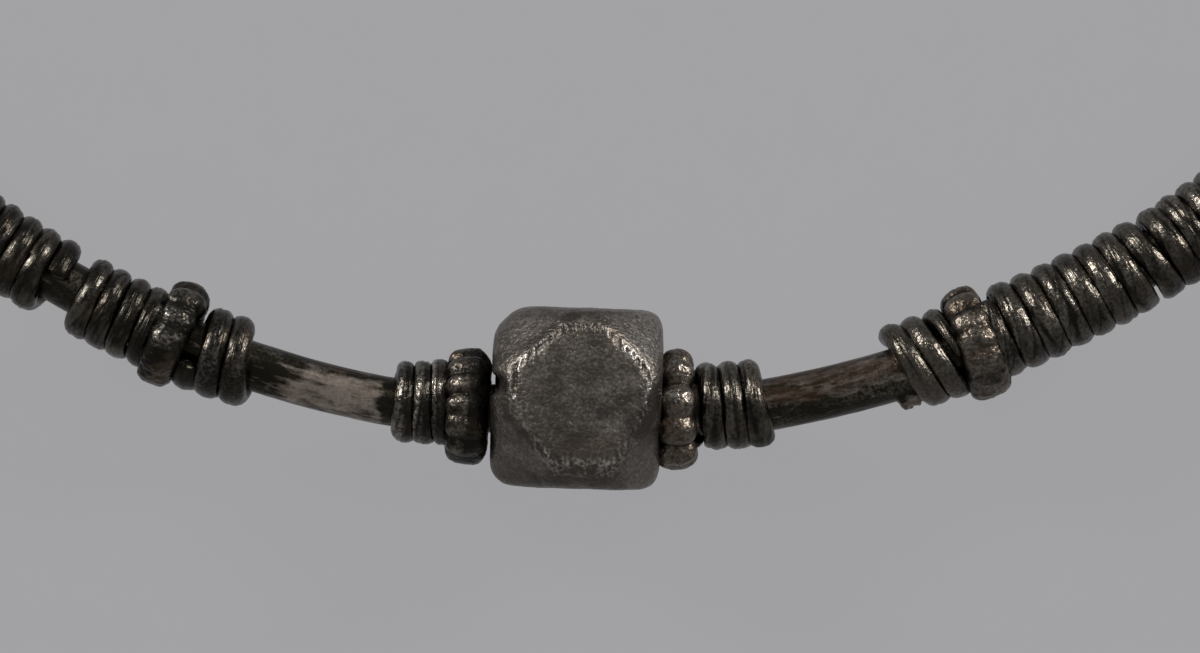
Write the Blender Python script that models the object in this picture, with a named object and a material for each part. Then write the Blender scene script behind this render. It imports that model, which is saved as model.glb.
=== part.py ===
"""A silver wire hoop earring with a faceted bead, beaded rings and wire windings, lying flat.

Metres, +Z up. The hoop lies on its side: the faceted bead's flat underside and the closing hook
rest on the surface z = 0, and the origin is the middle of the outline, on that surface. The bead
is at -Y and the closure at +Y.

Pieces are laid out in straightened coordinates along the hoop wire: s runs along the wire from
the middle of the bead (positive to the right, +X), out points away from the hoop's centre, and
up is square to the hoop's plane. on_hoop() wraps these onto the real curve. A direction round
the wire is an angle, in degrees where it is a size: 0 is out and 90 is up.
"""

import itertools
import math

import bmesh
import bpy
from mathutils import Vector

MM = 0.001

# Hoop wire
HOOP_RADIUS = 31.9 * MM
WIRE_RADIUS = 0.75 * MM
STRAIGHT_RUN = 9.2 * MM
STRAIGHT_EASE = 0.24 * MM
ARC_STEPS = 72

# Hook and eye that close the hoop
CLOSURE_WIRE_RADIUS = 0.42 * MM
CLOSURE_CLEARANCE = 0.12 * MM
EYE_RADIUS = 1.3 * MM
EYE_NECK_RADIUS = 1.0 * MM
HOOK_RISE_LENGTH = 4.5 * MM
HOOK_TIP_LENGTH = 1.6 * MM
TAPER_LENGTH = 9.0 * MM
BEND_STEP = math.radians(20)

# Faceted bead: a block with its corners cut off, so deep that the cuts nearly meet, and the
# points left between them worn away
BEAD_WIDTH = 5.06 * MM
BEAD_DEPTH = 5.36 * MM
BEAD_HEIGHT = 5.3 * MM
CORNER_CUT = 2.48 * MM
POINT_WEAR = 0.56 * MM
BEAD_EDGE_ROUNDING = 0.16 * MM
BEAD_INSET = 0.33 * MM
BEAD_TWIST = 1.2
BORE_CLEARANCE = 0.05 * MM
BORE_SIDES = 16

# Fits
SEAT_CLEARANCE = 0.012 * MM
SIDE_GAP = 0.02 * MM
TURN_GAP = 0.02 * MM

# Beaded rings: lobes, direction of the first notch, width along the wire, outer radius, what wear
# has taken from that on the side away from the hoop's centre, depth of the notches, and lean
INNER_RING_LEFT = {
    "lobes": 14, "first": 0, "width": 1.24 * MM, "radius": 1.73 * MM, "wear": 0.03 * MM,
    "notch": 0.12 * MM, "lean": 0,
}
INNER_RING_RIGHT = {
    "lobes": 10, "first": 17, "width": 1.06 * MM, "radius": 1.77 * MM, "wear": 0.02 * MM,
    "notch": 0.2 * MM, "lean": 2,
}
OUTER_RING_LEFT = {
    "lobes": 12, "first": 0, "width": 1.12 * MM, "radius": 1.71 * MM, "wear": 0.16 * MM,
    "notch": 0.12 * MM, "lean": 1,
}
OUTER_RING_RIGHT = {
    "lobes": 13, "first": 9, "width": 1.18 * MM, "radius": 1.82 * MM, "wear": 0.3 * MM,
    "notch": 0.14 * MM, "lean": 1,
}
POINTS_PER_LOBE = 4

# Windings, each a wire wound to the right: the wire's width along the hoop and its thickness,
# both as flattened by the winding, its turns, the direction in which its lower-s end starts, how
# far its turns lean along the hoop, and what share of the wire is left at its two ends
INNER_WINDING_LEFT = {
    "width": 0.585 * MM, "thickness": 0.48 * MM, "turns": 2.5, "start": 190, "lean": -0.05 * MM,
    "tips": (0.9, 0.45),
}
INNER_WINDING_RIGHT = {
    "width": 0.615 * MM, "thickness": 0.55 * MM, "turns": 3.0, "start": 10, "lean": -0.08 * MM,
    "tips": (0.4, 0.9),
}
MIDDLE_WINDING_LEFT = {
    "width": 0.67 * MM, "thickness": 0.59 * MM, "turns": 2.4, "start": 80, "lean": 0,
    "tips": (0.85, 0.9),
}
MIDDLE_WINDING_RIGHT = {
    "width": 0.66 * MM, "thickness": 0.64 * MM, "turns": 2.4, "start": 200, "lean": 0.16 * MM,
    "tips": (1, 0.5),
}
SHORT_WINDING_LEFT = {
    "width": 0.61 * MM, "thickness": 0.5 * MM, "turns": 3.5, "start": 190, "lean": -0.08 * MM,
    "tips": (0.9, 0.45),
}
LONG_WINDING_LEFT = {
    "width": 0.69 * MM, "thickness": 0.51 * MM, "turns": 15.5, "start": 270, "lean": 0,
    "tips": (0.7, 0.5),
}
LONG_WINDING_RIGHT = {
    "width": 0.695 * MM, "thickness": 0.64 * MM, "turns": 19.8, "start": 140, "lean": 0,
    "tips": (0.4, 0.7),
}
TIP_TURNS = 0.5
STEPS_PER_TURN = 10
SECTION_SIDES = 5

# Gaps between the bead and the rings beside it, and bare stretches of hoop wire
BEAD_GAP_LEFT = 0.16 * MM
BEAD_GAP_RIGHT = 0.03 * MM
BARE_LEFT = 4.06 * MM
BARE_RIGHT = 3.6 * MM
SHORT_BARE_LEFT = 0.5 * MM

# Worked out from the sizes above
CHORD_DISTANCE = math.sqrt(HOOP_RADIUS**2 - (STRAIGHT_RUN / 2) ** 2)
HOOK_RADIUS = 2 * CLOSURE_WIRE_RADIUS + CLOSURE_CLEARANCE
BORE_RADIUS = WIRE_RADIUS + BORE_CLEARANCE
HALF_WAY = math.pi * HOOP_RADIUS
LIE_TILT = math.asin(
    (BEAD_HEIGHT / 2 - HOOK_RADIUS - CLOSURE_WIRE_RADIUS) / (CHORD_DISTANCE + HOOP_RADIUS)
)


def smooth_min(a, b, ease):
    """The smaller of a and b, rounded off where they differ by less than ease."""
    share = max(ease - abs(a - b), 0) / ease
    return min(a, b) - share**2 * ease / 4


def wire_line(s):
    """Centre line of the hoop wire: a circle, but a straight chord where it runs through the bead."""
    angle = s / HOOP_RADIUS
    distance = HOOP_RADIUS
    if abs(angle) < 1:
        distance = smooth_min(HOOP_RADIUS, CHORD_DISTANCE / math.cos(angle), STRAIGHT_EASE)
    return Vector((distance * math.sin(angle), CHORD_DISTANCE - distance * math.cos(angle), 0))


def on_hoop(s, out, up):
    """The point beside the hoop wire at s, measured from the wire's middle inside the bead."""
    step = HOOP_RADIUS * 1e-4
    along = (wire_line(s + step) - wire_line(s - step)).normalized()
    outward = Vector((along.y, -along.x, 0))
    return wire_line(s) + outward * out + Vector((0, 0, up))


def round_hoop(s, distance, direction):
    """The point at a distance from the hoop wire's centre at s, in a direction round the wire."""
    return on_hoop(s, distance * math.cos(direction), distance * math.sin(direction))


def silver(name, colour, roughness):
    """A tarnished silver finish."""
    material = bpy.data.materials.new(name)
    material.use_nodes = True
    shader = material.node_tree.nodes["Principled BSDF"]
    shader.inputs["Base Color"].default_value = (*colour, 1)
    shader.inputs["Metallic"].default_value = 1
    shader.inputs["Roughness"].default_value = roughness
    return material


def shown(name, data, material, parent, smooth_angle=40):
    """An object in the scene, with its finish, moving with its parent."""
    data.materials.append(material)
    thing = bpy.data.objects.new(name, data)
    bpy.context.scene.collection.objects.link(thing)
    thing.parent = parent
    if isinstance(data, bpy.types.Mesh):
        data.shade_smooth()
        data.set_sharp_from_angle(angle=math.radians(smooth_angle))
    return thing


def skin(name, sections, closed):
    """A mesh through sections that all have as many points: its ends meet if closed, or are capped."""
    mesh = bmesh.new()
    rows = [[mesh.verts.new(point) for point in section] for section in sections]
    sides = len(rows[0])
    for row, following in zip(rows, rows[1:] + rows[:1] if closed else rows[1:]):
        for i in range(sides):
            j = (i + 1) % sides
            mesh.faces.new((row[i], row[j], following[j], following[i]))
    if not closed:
        mesh.faces.new(rows[0])
        mesh.faces.new(rows[-1])
    bmesh.ops.recalc_face_normals(mesh, faces=mesh.faces)
    data = bpy.data.meshes.new(name)
    mesh.to_mesh(data)
    mesh.free()
    return data


def bend(middle, radius, first, last):
    """Points round part of a circle, as (along, across) pairs, from one angle to another."""
    steps = max(2, math.ceil(abs(last - first) / BEND_STEP))
    angles = [first + (last - first) * i / steps for i in range(steps + 1)]
    return [(middle[0] + radius * math.cos(a), middle[1] + radius * math.sin(a)) for a in angles]


def eye_outline():
    """Centre line of the eye in the hoop's plane, as (s, out), from where the round wire ends."""
    span = EYE_RADIUS + EYE_NECK_RADIUS
    reach = math.sqrt(span**2 - EYE_NECK_RADIUS**2)
    start = HALF_WAY - reach - EYE_RADIUS
    neck_turn = math.asin(EYE_NECK_RADIUS / span)
    neck = bend((start, EYE_NECK_RADIUS), EYE_NECK_RADIUS, -math.pi / 2, -neck_turn)
    tip_distance = EYE_NECK_RADIUS + 2 * CLOSURE_WIRE_RADIUS + CLOSURE_CLEARANCE
    tip_turn = math.acos((EYE_RADIUS**2 + span**2 - tip_distance**2) / (2 * EYE_RADIUS * span))
    loop = bend((start + reach, 0), EYE_RADIUS, math.pi - neck_turn, tip_turn - neck_turn - math.pi)
    return start, neck + loop[1:]


def hook_outline():
    """Centre line of the hook in the upright plane along the wire, as (distance from start, up)."""
    rise_steps = 8
    rise = []
    for i in range(rise_steps):
        share = i / rise_steps
        rise.append((share * HOOK_RISE_LENGTH, HOOK_RADIUS * (3 - 2 * share) * share**2))
    turn = bend((HOOK_RISE_LENGTH, 0), HOOK_RADIUS, math.pi / 2, -math.pi / 2)
    tip = (HOOK_RISE_LENGTH - HOOK_TIP_LENGTH, -HOOK_RADIUS)
    return rise + turn + [tip]


def hoop_route():
    """The hoop wire's route as (s, out, up), from the hook's tip round the bead to the eye's end."""
    eye_start, eye = eye_outline()
    hook_start = -(HALF_WAY - HOOK_RISE_LENGTH)
    hook = [(hook_start - along, 0, up) for along, up in hook_outline()]
    arc_step = 2 * HALF_WAY / ARC_STEPS
    spare = arc_step / 2
    arc = [(arc_step * i, 0, 0) for i in range(-ARC_STEPS // 2, ARC_STEPS // 2 + 1)]
    arc = [point for point in arc if hook_start + spare < point[0] < eye_start - spare]
    return hook[::-1] + arc + [(s, out, 0) for s, out in eye]


def taper(s):
    """The wire's radius as a share of the full one: it is drawn down towards the closure."""
    full_until = HALF_WAY - HOOK_RISE_LENGTH - TAPER_LENGTH
    share = min(max((abs(s) - full_until) / TAPER_LENGTH, 0), 1)
    return 1 + (CLOSURE_WIRE_RADIUS / WIRE_RADIUS - 1) * share


def hoop_wire(material, parent):
    """The hoop: one wire with the hook at its left end and the eye at its right end."""
    curve = bpy.data.curves.new("hoop_wire", "CURVE")
    curve.dimensions = "3D"
    curve.bevel_depth = WIRE_RADIUS
    curve.bevel_resolution = 2
    curve.use_fill_caps = True
    route = hoop_route()
    spline = curve.splines.new("POLY")
    spline.points.add(len(route) - 1)
    for point, (s, out, up) in zip(spline.points, route):
        point.co = (*on_hoop(s, out, up), 1)
        point.radius = taper(s)
    return shown("hoop_wire", curve, material, parent)


def cut_off(mesh, half, way, leg):
    """Cuts a block of these half sizes evenly across the corner or edge that lies this way."""
    place = Vector(half[i] * way[i] for i in range(3))
    first = next(i for i in range(3) if way[i])
    place[first] -= way[first] * leg
    everything = mesh.verts[:] + mesh.edges[:] + mesh.faces[:]
    sliced = bmesh.ops.bisect_plane(
        mesh, geom=everything, plane_co=place, plane_no=Vector(way), clear_outer=True
    )
    rim = [piece for piece in sliced["geom_cut"] if isinstance(piece, bmesh.types.BMEdge)]
    bmesh.ops.edgeloop_fill(mesh, edges=rim)


def faceted_bead(material, y, z):
    """The bead: a block cut back at its corners, its points and edges worn, and bored for the wire."""
    size = Vector((BEAD_WIDTH, BEAD_DEPTH, BEAD_HEIGHT))
    mesh = bmesh.new()
    bmesh.ops.create_cube(mesh, size=1)
    bmesh.ops.scale(mesh, vec=size, verts=mesh.verts)
    for directions, leg in ((3, CORNER_CUT), (2, POINT_WEAR)):
        for way in itertools.product((-1, 0, 1), repeat=3):
            if way.count(0) == 3 - directions:
                cut_off(mesh, size / 2, way, leg)
    bmesh.ops.recalc_face_normals(mesh, faces=mesh.faces)
    data = bpy.data.meshes.new("faceted_bead")
    mesh.to_mesh(data)
    mesh.free()
    bead = shown("faceted_bead", data, material, None, smooth_angle=25)
    bead.location = (0, y + BEAD_INSET, z)
    bead.rotation_euler = (0, 0, -math.radians(BEAD_TWIST))
    rounding = bead.modifiers.new("rounded edges", "BEVEL")
    rounding.width = BEAD_EDGE_ROUNDING
    rounding.segments = 1
    bore = bead.modifiers.new("bore", "BOOLEAN")
    bore.operation = "DIFFERENCE"
    bore.object = bore_cutter(y, z)
    return bead


def bore_cutter(y, z):
    """The rod that cuts the bead's bore, along X where the hoop wire runs."""
    flat_radius = BORE_RADIUS / math.cos(math.pi / BORE_SIDES)
    mesh = bmesh.new()
    bmesh.ops.create_cone(
        mesh, cap_ends=True, segments=BORE_SIDES, radius1=flat_radius, radius2=flat_radius,
        depth=BEAD_WIDTH * 2,
    )
    data = bpy.data.meshes.new("bore_cutter")
    mesh.to_mesh(data)
    mesh.free()
    cutter = bpy.data.objects.new("bore_cutter", data)
    bpy.context.scene.collection.objects.link(cutter)
    cutter.rotation_euler = (0, math.pi / 2, 0)
    cutter.location = (0, y, z)
    cutter.hide_render = True
    cutter.display_type = "WIRE"
    return cutter


def beaded_ring(name, ring, s, material, parent):
    """A ring of fused beads round the hoop wire, its lobes parted by notches."""
    steps = ring["lobes"] * POINTS_PER_LOBE
    inner = (WIRE_RADIUS + SEAT_CLEARANCE) / math.cos(math.pi / steps)
    half = ring["width"] / 2
    lean = math.tan(math.radians(ring["lean"]))
    sections = []
    for step in range(steps):
        direction = math.radians(ring["first"]) + 2 * math.pi * step / steps
        valley = 1 - abs(math.sin(math.pi * step / POINTS_PER_LOBE))
        outer = ring["radius"] - ring["notch"] * valley - ring["wear"] * (1 + math.cos(direction)) / 2
        wall = outer - inner
        profile = [
            (-0.85 * half, inner),
            (-half, inner + 0.45 * wall),
            (-0.6 * half, inner + 0.9 * wall),
            (0, outer),
            (0.6 * half, inner + 0.9 * wall),
            (half, inner + 0.45 * wall),
            (0.85 * half, inner),
        ]
        section = []
        for along, distance in profile:
            shift = lean * distance * math.cos(direction)
            section.append(round_hoop(s + along - shift, distance, direction))
        sections.append(section)
    return shown(name, skin(name, sections, closed=True), material, parent, smooth_angle=50)


def ring_reach(ring):
    """Half the length of hoop wire that a ring takes up, its lean included."""
    return ring["width"] / 2 + abs(math.tan(math.radians(ring["lean"]))) * ring["radius"]


def tip_share(wire, turns):
    """What share of the wire's width and thickness is left here, since its ends are drawn thin."""
    share = 1
    for tip, distance in zip(wire["tips"], (turns, wire["turns"] - turns)):
        grown = min(max(distance / TIP_TURNS, 0), 1)
        share = min(share, tip + (1 - tip) * grown)
    return share


def winding_radius(wire, turns):
    """Distance between the centres of the hoop wire and of the wire wound on it, facets clear."""
    inner_share = math.cos(math.pi / SECTION_SIDES)
    half = wire["thickness"] / 2 * tip_share(wire, turns)
    return (WIRE_RADIUS + SEAT_CLEARANCE + half * inner_share) / math.cos(math.pi / STEPS_PER_TURN)


def winding_centre(wire, turns):
    """The wound wire's centre after this many turns, as (along, distance from the hoop, direction)."""
    direction = math.radians(wire["start"]) - 2 * math.pi * turns
    along = (wire["width"] + TURN_GAP) * turns + wire["lean"] * math.cos(direction)
    towards_next = 1 if turns < wire["turns"] / 2 else -1
    along += towards_next * wire["width"] * (1 - tip_share(wire, turns)) / 2
    return along, winding_radius(wire, turns), direction


def winding_steps(wire):
    """How many turns have been wound, at each section of a winding."""
    return [step / STEPS_PER_TURN for step in range(round(wire["turns"] * STEPS_PER_TURN) + 1)]


def winding_reach(wire):
    """How far a winding reaches along the hoop, from where it starts: (lowest, highest)."""
    edges = []
    for turns in winding_steps(wire):
        along = winding_centre(wire, turns)[0]
        half = wire["width"] / 2 * tip_share(wire, turns)
        edges += [along - half, along + half]
    return min(edges), max(edges)


def winding(name, wire, s, material, parent):
    """A wire wound tightly round the hoop wire, from s towards higher s."""
    half_step = 0.5 / STEPS_PER_TURN

    def centre(turns):
        along, distance, direction = winding_centre(wire, turns)
        return round_hoop(s + along, distance, direction)

    sections = []
    for turns in winding_steps(wire):
        middle = centre(turns)
        outward = (middle - on_hoop(s + winding_centre(wire, turns)[0], 0, 0)).normalized()
        forward = centre(turns + half_step) - centre(turns - half_step)
        sideways = forward.cross(outward).normalized()
        share = tip_share(wire, turns)
        section = []
        for side in range(SECTION_SIDES):
            angle = 2 * math.pi * side / SECTION_SIDES
            rise = outward * math.cos(angle) * wire["thickness"] / 2 * share
            section.append(middle + rise + sideways * math.sin(angle) * wire["width"] / 2 * share)
        sections.append(section)
    return shown(name, skin(name, sections, closed=False), material, parent, smooth_angle=80)


def lay_out(pieces, side, material, parent):
    """Sets pieces one after another along the wire, outwards from the bead, on one side of it."""
    s = BEAD_WIDTH / 2
    for name, piece in pieces:
        if name == "bare":
            s += piece
        elif "lobes" in piece:
            reach = ring_reach(piece)
            beaded_ring(name, piece, side * (s + reach), material, parent)
            s += 2 * reach + SIDE_GAP
        else:
            lowest, highest = winding_reach(piece)
            winding(name, piece, s - lowest if side > 0 else -s - highest, material, parent)
            s += highest - lowest + SIDE_GAP


def build():
    """Clears the scene and builds the earring, lying as it rests."""
    for thing in list(bpy.data.objects):
        bpy.data.objects.remove(thing)
    wire_silver = silver("tarnished silver hoop wire", (0.105, 0.092, 0.08), 0.36)
    bead_silver = silver("worn silver bead", (0.12, 0.11, 0.098), 0.42)
    winding_silver = silver("blackened silver winding wire", (0.06, 0.053, 0.045), 0.3)

    far_edge = HOOP_RADIUS + EYE_RADIUS + CLOSURE_WIRE_RADIUS + CHORD_DISTANCE
    bead_edge = BEAD_INSET - BEAD_DEPTH / 2
    wire_y = -(far_edge * math.cos(LIE_TILT) + bead_edge) / 2
    wire_z = BEAD_HEIGHT / 2
    pose = bpy.data.objects.new("hoop pose", None)
    bpy.context.scene.collection.objects.link(pose)
    pose.location = (0, wire_y, wire_z)
    pose.rotation_euler = (-LIE_TILT, 0, 0)

    hoop_wire(wire_silver, pose)
    faceted_bead(bead_silver, wire_y, wire_z)
    right = [
        ("bare", BEAD_GAP_RIGHT),
        ("inner_beaded_ring_right", INNER_RING_RIGHT),
        ("inner_winding_right", INNER_WINDING_RIGHT),
        ("bare", BARE_RIGHT),
        ("middle_winding_right", MIDDLE_WINDING_RIGHT),
        ("outer_beaded_ring_right", OUTER_RING_RIGHT),
        ("long_winding_right", LONG_WINDING_RIGHT),
    ]
    left = [
        ("bare", BEAD_GAP_LEFT),
        ("inner_beaded_ring_left", INNER_RING_LEFT),
        ("inner_winding_left", INNER_WINDING_LEFT),
        ("bare", BARE_LEFT),
        ("middle_winding_left", MIDDLE_WINDING_LEFT),
        ("outer_beaded_ring_left", OUTER_RING_LEFT),
        ("short_winding_left", SHORT_WINDING_LEFT),
        ("bare", SHORT_BARE_LEFT),
        ("long_winding_left", LONG_WINDING_LEFT),
    ]
    lay_out(right, 1, winding_silver, pose)
    lay_out(left, -1, winding_silver, pose)


build()
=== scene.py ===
# %% [markdown]
# # A silver wire hoop earring with a faceted bead
#
# The earring is one round silver wire, bent to a hoop. A faceted bead is threaded on it, with a
# beaded ring pushed against each side, and thinner wires are wound round the hoop beyond the
# rings. All of it is old silver: nearly black where tarnish has stayed, grey-brown where it has
# been handled, and bright only on the ridges that wear has polished.
#
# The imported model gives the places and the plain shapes. This script makes every piece again as a
# fine surface: each point's place is worked out with numpy from a formula, whole arrays at a time.
# Lengths are in millimetres here until a mesh is made from them.

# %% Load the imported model
import math

import bpy
import numpy as np
from mathutils import Euler, Matrix, Vector


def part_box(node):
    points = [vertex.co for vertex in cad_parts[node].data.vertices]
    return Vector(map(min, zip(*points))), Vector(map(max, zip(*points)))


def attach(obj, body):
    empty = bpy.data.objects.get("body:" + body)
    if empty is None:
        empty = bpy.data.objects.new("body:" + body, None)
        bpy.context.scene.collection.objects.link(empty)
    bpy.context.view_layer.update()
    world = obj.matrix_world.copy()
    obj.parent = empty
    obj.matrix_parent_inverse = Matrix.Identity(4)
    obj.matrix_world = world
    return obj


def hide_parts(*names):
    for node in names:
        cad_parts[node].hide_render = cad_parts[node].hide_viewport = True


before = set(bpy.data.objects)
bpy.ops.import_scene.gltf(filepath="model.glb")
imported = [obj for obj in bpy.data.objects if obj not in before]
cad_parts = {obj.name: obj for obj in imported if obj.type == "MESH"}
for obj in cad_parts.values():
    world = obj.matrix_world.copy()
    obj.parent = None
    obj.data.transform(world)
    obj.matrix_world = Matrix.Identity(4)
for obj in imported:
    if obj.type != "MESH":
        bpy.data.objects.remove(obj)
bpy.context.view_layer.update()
MM = 0.001
print("pieces to dress:", len(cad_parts))

# %% [markdown]
# ## A straight ruler along a bent wire
#
# Everything on this earring sits on the hoop's wire, so places are given in straightened
# coordinates: s runs along the wire from the middle of the bead, out points away from the hoop's
# centre, and up is square to the hoop. One function then wraps them onto the real curve. A Curve
# modifier could bend each piece too, but would need a helper object for every one.

# %% The hoop's line
# Inside the bead the wire is a straight chord, as long as the straight run, and straight ease says
# how gently it joins the round hoop. Bead inset is how far the bead's middle lies inside the wire.
HOOP_RADIUS = 31.9
WIRE_RADIUS = 0.75
STRAIGHT_RUN = 9.2
STRAIGHT_EASE = 0.24
BEAD_INSET = 0.33
CLOSURE_WIRE_RADIUS = 0.42
HOOK_RADIUS = 0.96
HALF_WAY = math.pi * HOOP_RADIUS
CHORD_DISTANCE = math.sqrt(HOOP_RADIUS**2 - (STRAIGHT_RUN / 2) ** 2)

bead_low, bead_high = (np.array(corner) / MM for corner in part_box("faceted_bead"))
bead_centre = (bead_low + bead_high) / 2
wire_origin = bead_centre - (0, BEAD_INSET, 0)
lie_tilt = math.asin(
    (bead_centre[2] - HOOK_RADIUS - CLOSURE_WIRE_RADIUS) / (CHORD_DISTANCE + HOOP_RADIUS)
)


def stacked(*parts):
    """Arrays or single numbers laid side by side in one shape, as coordinates make points."""
    return np.stack(np.broadcast_arrays(*parts), -1)


def wire_line(s):
    """Centre line of the hoop wire in the hoop's plane: the hoop's radius from its centre, or as
    far as the straight chord inside the bead where that is nearer, with the change eased."""
    angle = s / HOOP_RADIUS
    chord = CHORD_DISTANCE / np.cos(np.clip(angle, -1, 1))
    ease = np.maximum(STRAIGHT_EASE - abs(HOOP_RADIUS - chord), 0) / STRAIGHT_EASE
    distance = np.minimum(HOOP_RADIUS, chord) - ease**2 * STRAIGHT_EASE / 4
    return stacked(distance * np.sin(angle), CHORD_DISTANCE - distance * np.cos(angle))


def on_hoop(places):
    """Wraps (s, out, up) places onto the real hoop: from the wire's centre line, out across it in
    the hoop's plane and up square to that, then the whole leaned as the hoop lies."""
    s, out, up = np.moveaxis(places, -1, 0)
    step = HOOP_RADIUS * 1e-4
    along = wire_line(s + step) - wire_line(s - step)
    along /= np.linalg.norm(along, axis=-1, keepdims=True)
    flat = wire_line(s) + stacked(along[..., 1], -along[..., 0]) * out[..., None]
    y = flat[..., 1] * math.cos(lie_tilt) + up * math.sin(lie_tilt)
    z = up * math.cos(lie_tilt) - flat[..., 1] * math.sin(lie_tilt)
    return stacked(flat[..., 0], y, z) + wire_origin


def eased(value, low, high):
    """0 below low, 1 above high, and a smooth S between."""
    share = np.clip((value - low) / (high - low), 0, 1)
    return share * share * (3 - 2 * share)


def quarter_round(distance, radius):
    """How thick a rounded end is, as a share: the height of a quarter circle of this radius."""
    share = np.clip(distance / radius, 0, 1)
    return np.sqrt(1 - (1 - share) ** 2)


def hoop_thickness(s):
    """The hoop wire's radius before its ends are drawn thin: a little more right of the bead."""
    return WIRE_RADIUS - 0.01 + 0.05 * eased(s, -2, 4)


hoop_centre = on_hoop(np.array([0.0, -CHORD_DISTANCE, 0.0]))
print("hoop centre, mm:", hoop_centre.round(3), "leaning", round(math.degrees(lie_tilt), 2), "degrees")

# %% [markdown]
# ## Unevenness that is the same every time
#
# Old hand-made silver is uneven at every size: dented, pitted and scratched. A noise that is
# smooth between fixed heights gives all of these. The heights come from mixing whole numbers, not
# from a random generator, so each run makes the same surface.

# %% Smooth unevenness
def cell_height(cells, seed):
    """A fixed height from -1 to 1 for each whole-number cell: its three numbers and the seed are
    multiplied by large odd numbers and their bits mixed."""
    numbers = cells.astype(np.uint32)
    mixed = numbers[..., 0] * np.uint32(374761393) + numbers[..., 1] * np.uint32(668265263)
    mixed = mixed + numbers[..., 2] * np.uint32(2246822519) + np.uint32(seed * 3266489 + 7)
    mixed = (mixed ^ (mixed >> 15)) * np.uint32(2246822519)
    mixed = (mixed ^ (mixed >> 13)) * np.uint32(3266489917)
    return ((mixed ^ (mixed >> 16)) & 0xFFFF) / 32767.5 - 1


CELL_TURN = np.array(Euler((0.9, 0.6, 0.4), "ZYX").to_matrix())


def lumps(places, size, seed):
    """Smooth bumps from -1 to 1 about as wide as size: the heights of the eight cells round each
    place, blended by how near each is. The cells are turned, so that none line up with a piece."""
    scaled = places @ CELL_TURN / size
    corner = np.floor(scaled).astype(np.int64)
    share = scaled - corner
    share = share * share * (3 - 2 * share)
    total = np.zeros(places.shape[:-1])
    for step in np.ndindex(2, 2, 2):
        weight = np.where(np.array(step) == 1, share, 1 - share).prod(axis=-1)
        total += weight * cell_height(corner + np.array(step), seed)
    return total


def wander(distance, size, seed):
    """Smooth bumps along a single length."""
    return lumps(stacked(distance, 0.0, 0.0), size, seed)


def roughened(places, size, seed, layers=3):
    """Bumps on bumps: each layer is half as wide and half as high as the one before."""
    return sum(lumps(places, size / 2**n, seed + n) / 2**n for n in range(layers))


print("unevenness along a line:", wander(np.arange(4) / 2, 1.0, 1).round(3))

# %% [markdown]
# ## From a grid of points to a mesh
#
# Each piece is a grid: row after row of points round the piece, one row for each step along it.
# The first and last row are joined, as in a ring, or each is closed to a point. Each point keeps
# how worn it is, and a map of the distance along and round lets scratches follow a bent wire.

# %% The way a surface faces
def unit(vectors):
    """The same directions, with a length of one."""
    return vectors / np.maximum(np.linalg.norm(vectors, axis=-1, keepdims=True), 1e-12)


def facing(rows, joined):
    """Unit vectors square to the surface, outwards: the step along crossed with the step round."""
    if joined:
        along = np.roll(rows, -1, 0) - np.roll(rows, 1, 0)
    else:
        along = np.gradient(rows, axis=0)
    normals = unit(np.cross(along, np.roll(rows, -1, 1) - np.roll(rows, 1, 1)))
    outward = rows - rows.mean(axis=1, keepdims=True)
    return normals * np.sign((normals * outward).sum())


# %% A mesh over a grid
# The pale mark holds each skin's own tone, and also painted light and shade.
MARKS = ("wear", "grit", "pale", "brown")


def skin(name, rows, marks, run, joined):
    """A mesh over a grid of points in millimetres. Each four neighbours make a face, and where
    the ends aren't joined a fan of triangles closes each to its middle. The marks are numbers for
    each point, none where not given, and run is how far along and round each row and side is."""
    steps, sides = rows.shape[:2]
    index = np.arange(steps * sides).reshape(steps, sides)
    nearer = index if joined else index[:-1]
    further = np.roll(index, -1, 0) if joined else index[1:]
    quads = stacked(nearer, np.roll(nearer, -1, 1), np.roll(further, -1, 1), further)
    points = rows.reshape(-1, 3)
    length, girth = run
    u = stacked(length[:-1], length[:-1], length[1:], length[1:])[:, None]
    v = stacked(girth[:-1], girth[1:], girth[1:], girth[:-1])[None]
    faces = [quads.reshape(-1, 4)]
    maps = [stacked(u, v)[: len(nearer)].reshape(-1, 4, 2)]
    if not joined:
        points = np.concatenate([points, [rows[0].mean(0), rows[-1].mean(0)]])
        for end, rim in ((0, index[0][::-1]), (1, index[-1])):
            middle = np.full(sides, steps * sides + end)
            faces.append(stacked(middle, rim, np.roll(rim, -1)))
            maps.append(np.broadcast_to([length[-end], 0.0], (sides, 3, 2)))
    triangles = np.concatenate([faces[0][:, :3], faces[0][:, [0, 2, 3]], *faces[1:]])
    a, b, c = points[triangles].transpose(1, 0, 2)
    if (a * np.cross(b, c)).sum() < 0:
        faces = [part[:, ::-1] for part in faces]
        maps = [part[:, ::-1] for part in maps]
    mesh = bpy.data.meshes.new(name)
    mesh.vertices.add(len(points))
    mesh.vertices.foreach_set("co", (points * MM).ravel())
    mesh.loops.add(sum(part.size for part in faces))
    mesh.loops.foreach_set("vertex_index", np.concatenate([part.ravel() for part in faces]))
    sizes = np.concatenate([np.full(len(part), part.shape[1]) for part in faces])
    mesh.polygons.add(len(sizes))
    mesh.polygons.foreach_set("loop_start", np.cumsum(sizes) - sizes)
    mesh.update(calc_edges=True)
    mesh.validate()
    mesh.shade_smooth()
    for mark in MARKS:
        values = np.broadcast_to(np.asarray(marks.get(mark, 0), float), (steps, sides)).ravel()
        values = np.append(values, values[[0, -1]][: len(points) - len(values)])
        mesh.attributes.new(mark, "FLOAT", "POINT").data.foreach_set("value", values)
    lined = mesh.uv_layers.new(name="run")
    lined.data.foreach_set("uv", np.concatenate([part.ravel() for part in maps]) * MM)
    return mesh


# %% Into the scene
def show(name, data):
    """A new object in the scene."""
    thing = bpy.data.objects.new(name, data)
    bpy.context.scene.collection.objects.link(thing)
    return thing


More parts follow.
